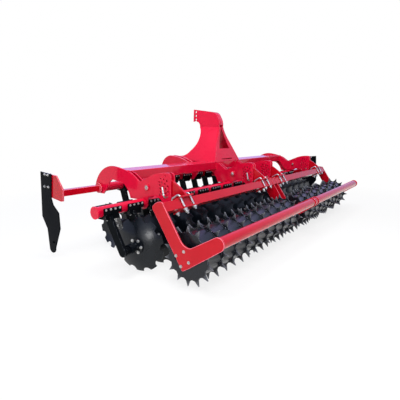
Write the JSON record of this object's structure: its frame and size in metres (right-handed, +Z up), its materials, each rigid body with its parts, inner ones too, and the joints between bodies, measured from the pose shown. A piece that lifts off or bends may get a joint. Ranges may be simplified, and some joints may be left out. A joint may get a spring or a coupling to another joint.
{
  "type": "mounted disc harrow",
  "caption": "Mounted compact disc harrow: two rows of notched dished discs on single arms, three-point headstock, side deflectors and a toothed ring roller on a pivoting frame.",
  "frame": {"origin": "on the ground at the middle of the machine's length and width, below the line of the roller arms' pivot bolts", "axes": "+X to the machine's right, +Y forward the way it travels, +Z up"},
  "size_m": [4.55, 1.96, 1.519],
  "materials": {
    "red_paint": "gloss",
    "black_paint": "gloss",
    "disc_steel": "gloss",
    "zinc": "bright zinc"
  },
  "bodies": {
    "frame": {"main_beam": "red_paint", "end_plate_left": "red_paint", "end_plate_right": "red_paint", "centre_plates": "red_paint", "front_tool_tube": "red_paint", "rear_tool_tube": "red_paint", "front_disc_arms": "black_paint", "rear_disc_arms": "black_paint", "tower_plates": "red_paint", "tower_cap": "red_paint", "tower_panel": "red_paint", "hitch_brackets": "red_paint", "hitch_beam": "red_paint", "deflector_arm_left": "red_paint", "deflector_blade_left": "black_paint", "deflector_arm_right": "red_paint", "deflector_blade_right": "black_paint", "frame_pins": "zinc"},
    "roller_frame": {"roller_beam": "red_paint", "roller_side_left": "red_paint", "roller_side_right": "red_paint", "roller_centre_plates": "red_paint", "roller_rear_bar": "red_paint", "roller_arms": "red_paint", "roller_u_bolts": "zinc", "roller_bearings": "black_paint"},
    "roller_left": {"roller_left": "black_paint"},
    "roller_right": {"roller_right": "black_paint"},
    "disc_front_01": {"disc_front_01": "disc_steel"},
    "disc_front_02": {"disc_front_02": "disc_steel"},
    "disc_front_03": {"disc_front_03": "disc_steel"},
    "disc_front_04": {"disc_front_04": "disc_steel"},
    "disc_front_05": {"disc_front_05": "disc_steel"},
    "disc_front_06": {"disc_front_06": "disc_steel"},
    "disc_front_07": {"disc_front_07": "disc_steel"},
    "disc_front_08": {"disc_front_08": "disc_steel"},
    "disc_front_09": {"disc_front_09": "disc_steel"},
    "disc_front_10": {"disc_front_10": "disc_steel"},
    "disc_front_11": {"disc_front_11": "disc_steel"},
    "disc_front_12": {"disc_front_12": "disc_steel"},
    "disc_front_13": {"disc_front_13": "disc_steel"},
    "disc_front_14": {"disc_front_14": "disc_steel"},
    "disc_front_15": {"disc_front_15": "disc_steel"},
    "disc_rear_01": {"disc_rear_01": "disc_steel"},
    "disc_rear_02": {"disc_rear_02": "disc_steel"},
    "disc_rear_03": {"disc_rear_03": "disc_steel"},
    "disc_rear_04": {"disc_rear_04": "disc_steel"},
    "disc_rear_05": {"disc_rear_05": "disc_steel"},
    "disc_rear_06": {"disc_rear_06": "disc_steel"},
    "disc_rear_07": {"disc_rear_07": "disc_steel"},
    "disc_rear_08": {"disc_rear_08": "disc_steel"},
    "disc_rear_09": {"disc_rear_09": "disc_steel"},
    "disc_rear_10": {"disc_rear_10": "disc_steel"},
    "disc_rear_11": {"disc_rear_11": "disc_steel"},
    "disc_rear_12": {"disc_rear_12": "disc_steel"},
    "disc_rear_13": {"disc_rear_13": "disc_steel"},
    "disc_rear_14": {"disc_rear_14": "disc_steel"},
    "disc_rear_15": {"disc_rear_15": "disc_steel"},
    "disc_rear_16": {"disc_rear_16": "disc_steel"}
  },
  "joints": [
    {"name": "roller_depth", "type": "hinge", "parent": "frame", "child": "roller_frame", "pos_m": [0, 0, 0.705], "axis": [-1, 0, 0], "range_deg": [0, 12]},
    {"name": "roller_left_spin", "type": "hinge", "parent": "roller_frame", "child": "roller_left", "pos_m": [0, -0.61, 0.245], "axis": [1, 0, 0], "continuous": true},
    {"name": "roller_right_spin", "type": "hinge", "parent": "roller_frame", "child": "roller_right", "pos_m": [0, -0.61, 0.245], "axis": [1, 0, 0], "continuous": true},
    {"name": "disc_front_01_spin", "type": "hinge", "parent": "frame", "child": "disc_front_01", "pos_m": [-1.625, 0.6, 0.24], "axis": [-0.9763, 0.2164, 0], "continuous": true},
    {"name": "disc_front_02_spin", "type": "hinge", "parent": "frame", "child": "disc_front_02", "pos_m": [-1.375, 0.6, 0.24], "axis": [-0.9763, 0.2164, 0], "continuous": true},
    {"name": "disc_front_03_spin", "type": "hinge", "parent": "frame", "child": "disc_front_03", "pos_m": [-1.125, 0.6, 0.24], "axis": [-0.9763, 0.2164, 0], "continuous": true},
    {"name": "disc_front_04_spin", "type": "hinge", "parent": "frame", "child": "disc_front_04", "pos_m": [-0.875, 0.6, 0.24], "axis": [-0.9763, 0.2164, 0], "continuous": true},
    {"name": "disc_front_05_spin", "type": "hinge", "parent": "frame", "child": "disc_front_05", "pos_m": [-0.625, 0.6, 0.24], "axis": [-0.9763, 0.2164, 0], "continuous": true},
    {"name": "disc_front_06_spin", "type": "hinge", "parent": "frame", "child": "disc_front_06", "pos_m": [-0.375, 0.6, 0.24], "axis": [-0.9763, 0.2164, 0], "continuous": true},
    {"name": "disc_front_07_spin", "type": "hinge", "parent": "frame", "child": "disc_front_07", "pos_m": [-0.125, 0.6, 0.24], "axis": [-0.9763, 0.2164, 0], "continuous": true},
    {"name": "disc_front_08_spin", "type": "hinge", "parent": "frame", "child": "disc_front_08", "pos_m": [0.125, 0.6, 0.24], "axis": [-0.9763, 0.2164, 0], "continuous": true},
    {"name": "disc_front_09_spin", "type": "hinge", "parent": "frame", "child": "disc_front_09", "pos_m": [0.375, 0.6, 0.24], "axis": [-0.9763, 0.2164, 0], "continuous": true},
    {"name": "disc_front_10_spin", "type": "hinge", "parent": "frame", "child": "disc_front_10", "pos_m": [0.625, 0.6, 0.24], "axis": [-0.9763, 0.2164, 0], "continuous": true},
    {"name": "disc_front_11_spin", "type": "hinge", "parent": "frame", "child": "disc_front_11", "pos_m": [0.875, 0.6, 0.24], "axis": [-0.9763, 0.2164, 0], "continuous": true},
    {"name": "disc_front_12_spin", "type": "hinge", "parent": "frame", "child": "disc_front_12", "pos_m": [1.125, 0.6, 0.24], "axis": [-0.9763, 0.2164, 0], "continuous": true},
    {"name": "disc_front_13_spin", "type": "hinge", "parent": "frame", "child": "disc_front_13", "pos_m": [1.375, 0.6, 0.24], "axis": [-0.9763, 0.2164, 0], "continuous": true},
    {"name": "disc_front_14_spin", "type": "hinge", "parent": "frame", "child": "disc_front_14", "pos_m": [1.625, 0.6, 0.24], "axis": [-0.9763, 0.2164, 0], "continuous": true},
    {"name": "disc_front_15_spin", "type": "hinge", "parent": "frame", "child": "disc_front_15", "pos_m": [1.875, 0.6, 0.24], "axis": [-0.9763, 0.2164, 0], "continuous": true},
    {"name": "disc_rear_01_spin", "type": "hinge", "parent": "frame", "child": "disc_rear_01", "pos_m": [-1.986, -0.093, 0.24], "axis": [0.9763, 0.2164, 0], "continuous": true},
    {"name": "disc_rear_02_spin", "type": "hinge", "parent": "frame", "child": "disc_rear_02", "pos_m": [-1.736, -0.093, 0.24], "axis": [0.9763, 0.2164, 0], "continuous": true},
    {"name": "disc_rear_03_spin", "type": "hinge", "parent": "frame", "child": "disc_rear_03", "pos_m": [-1.486, -0.093, 0.24], "axis": [0.9763, 0.2164, 0], "continuous": true},
    {"name": "disc_rear_04_spin", "type": "hinge", "parent": "frame", "child": "disc_rear_04", "pos_m": [-1.236, -0.093, 0.24], "axis": [0.9763, 0.2164, 0], "continuous": true},
    {"name": "disc_rear_05_spin", "type": "hinge", "parent": "frame", "child": "disc_rear_05", "pos_m": [-0.986, -0.093, 0.24], "axis": [0.9763, 0.2164, 0], "continuous": true},
    {"name": "disc_rear_06_spin", "type": "hinge", "parent": "frame", "child": "disc_rear_06", "pos_m": [-0.736, -0.093, 0.24], "axis": [0.9763, 0.2164, 0], "continuous": true},
    {"name": "disc_rear_07_spin", "type": "hinge", "parent": "frame", "child": "disc_rear_07", "pos_m": [-0.486, -0.093, 0.24], "axis": [0.9763, 0.2164, 0], "continuous": true},
    {"name": "disc_rear_08_spin", "type": "hinge", "parent": "frame", "child": "disc_rear_08", "pos_m": [-0.236, -0.093, 0.24], "axis": [0.9763, 0.2164, 0], "continuous": true},
    {"name": "disc_rear_09_spin", "type": "hinge", "parent": "frame", "child": "disc_rear_09", "pos_m": [0.014, -0.093, 0.24], "axis": [0.9763, 0.2164, 0], "continuous": true},
    {"name": "disc_rear_10_spin", "type": "hinge", "parent": "frame", "child": "disc_rear_10", "pos_m": [0.264, -0.093, 0.24], "axis": [0.9763, 0.2164, 0], "continuous": true},
    {"name": "disc_rear_11_spin", "type": "hinge", "parent": "frame", "child": "disc_rear_11", "pos_m": [0.514, -0.093, 0.24], "axis": [0.9763, 0.2164, 0], "continuous": true},
    {"name": "disc_rear_12_spin", "type": "hinge", "parent": "frame", "child": "disc_rear_12", "pos_m": [0.764, -0.093, 0.24], "axis": [0.9763, 0.2164, 0], "continuous": true},
    {"name": "disc_rear_13_spin", "type": "hinge", "parent": "frame", "child": "disc_rear_13", "pos_m": [1.014, -0.093, 0.24], "axis": [0.9763, 0.2164, 0], "continuous": true},
    {"name": "disc_rear_14_spin", "type": "hinge", "parent": "frame", "child": "disc_rear_14", "pos_m": [1.264, -0.093, 0.24], "axis": [0.9763, 0.2164, 0], "continuous": true},
    {"name": "disc_rear_15_spin", "type": "hinge", "parent": "frame", "child": "disc_rear_15", "pos_m": [1.514, -0.093, 0.24], "axis": [0.9763, 0.2164, 0], "continuous": true},
    {"name": "disc_rear_16_spin", "type": "hinge", "parent": "frame", "child": "disc_rear_16", "pos_m": [1.764, -0.093, 0.24], "axis": [0.9763, 0.2164, 0], "continuous": true}
  ]
}
